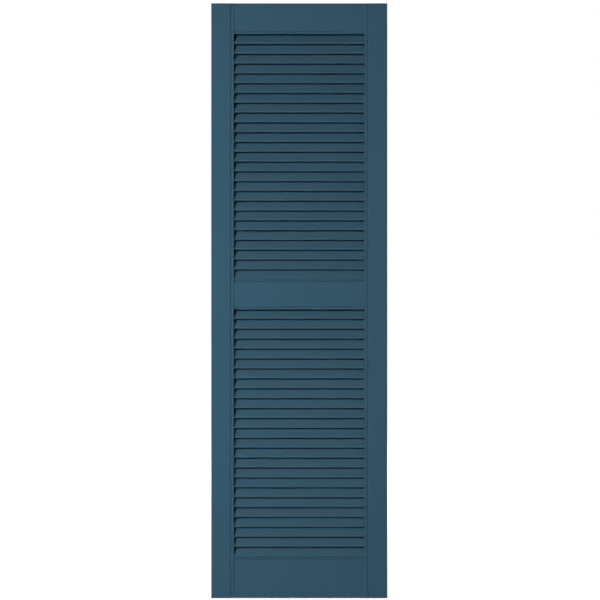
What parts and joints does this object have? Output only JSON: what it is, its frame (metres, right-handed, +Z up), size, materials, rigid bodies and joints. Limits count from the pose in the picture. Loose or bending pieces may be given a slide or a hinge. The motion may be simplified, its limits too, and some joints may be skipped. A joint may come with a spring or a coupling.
{
  "type": "louvred shutter",
  "caption": "Tall fixed-louvre window shutter: beaded stiles, top, middle and bottom rails, and two fields of sloping round-nosed louvres.",
  "frame": {"origin": "middle of the wall face, halfway across the width and halfway up the height", "axes": "+X across the shutter, to the right as seen from the front; +Y out of the wall face, towards the wall; +Z up"},
  "size_m": [0.383, 0.025, 1.2934],
  "materials": {
    "frame_paint": "satin blue coating on solid foamed vinyl boards",
    "louvre_paint": "satin blue coating on solid foamed vinyl louvres",
    "dowel_wood": "bare beech"
  },
  "bodies": {
    "root": {"stile_left": "frame_paint", "stile_right": "frame_paint", "top_rail": "frame_paint", "middle_rail": "frame_paint", "bottom_rail": "frame_paint", "top_rail_dowels": "dowel_wood", "middle_rail_dowels": "dowel_wood", "bottom_rail_dowels": "dowel_wood", "upper_louvre_01": "louvre_paint", "upper_louvre_02": "louvre_paint", "upper_louvre_03": "louvre_paint", "upper_louvre_04": "louvre_paint", "upper_louvre_05": "louvre_paint", "upper_louvre_06": "louvre_paint", "upper_louvre_07": "louvre_paint", "upper_louvre_08": "louvre_paint", "upper_louvre_09": "louvre_paint", "upper_louvre_10": "louvre_paint", "upper_louvre_11": "louvre_paint", "upper_louvre_12": "louvre_paint", "upper_louvre_13": "louvre_paint", "upper_louvre_14": "louvre_paint", "upper_louvre_15": "louvre_paint", "upper_louvre_16": "louvre_paint", "upper_louvre_17": "louvre_paint", "upper_louvre_18": "louvre_paint", "upper_louvre_19": "louvre_paint", "upper_louvre_20": "louvre_paint", "upper_louvre_21": "louvre_paint", "upper_louvre_22": "louvre_paint", "upper_louvre_23": "louvre_paint", "upper_louvre_24": "louvre_paint", "upper_louvre_25": "louvre_paint", "lower_louvre_01": "louvre_paint", "lower_louvre_02": "louvre_paint", "lower_louvre_03": "louvre_paint", "lower_louvre_04": "louvre_paint", "lower_louvre_05": "louvre_paint", "lower_louvre_06": "louvre_paint", "lower_louvre_07": "louvre_paint", "lower_louvre_08": "louvre_paint", "lower_louvre_09": "louvre_paint", "lower_louvre_10": "louvre_paint", "lower_louvre_11": "louvre_paint", "lower_louvre_12": "louvre_paint", "lower_louvre_13": "louvre_paint", "lower_louvre_14": "louvre_paint", "lower_louvre_15": "louvre_paint", "lower_louvre_16": "louvre_paint", "lower_louvre_17": "louvre_paint", "lower_louvre_18": "louvre_paint", "lower_louvre_19": "louvre_paint", "lower_louvre_20": "louvre_paint", "lower_louvre_21": "louvre_paint", "lower_louvre_22": "louvre_paint", "lower_louvre_23": "louvre_paint", "lower_louvre_24": "louvre_paint", "lower_louvre_25": "louvre_paint"}
  },
  "joints": []
}
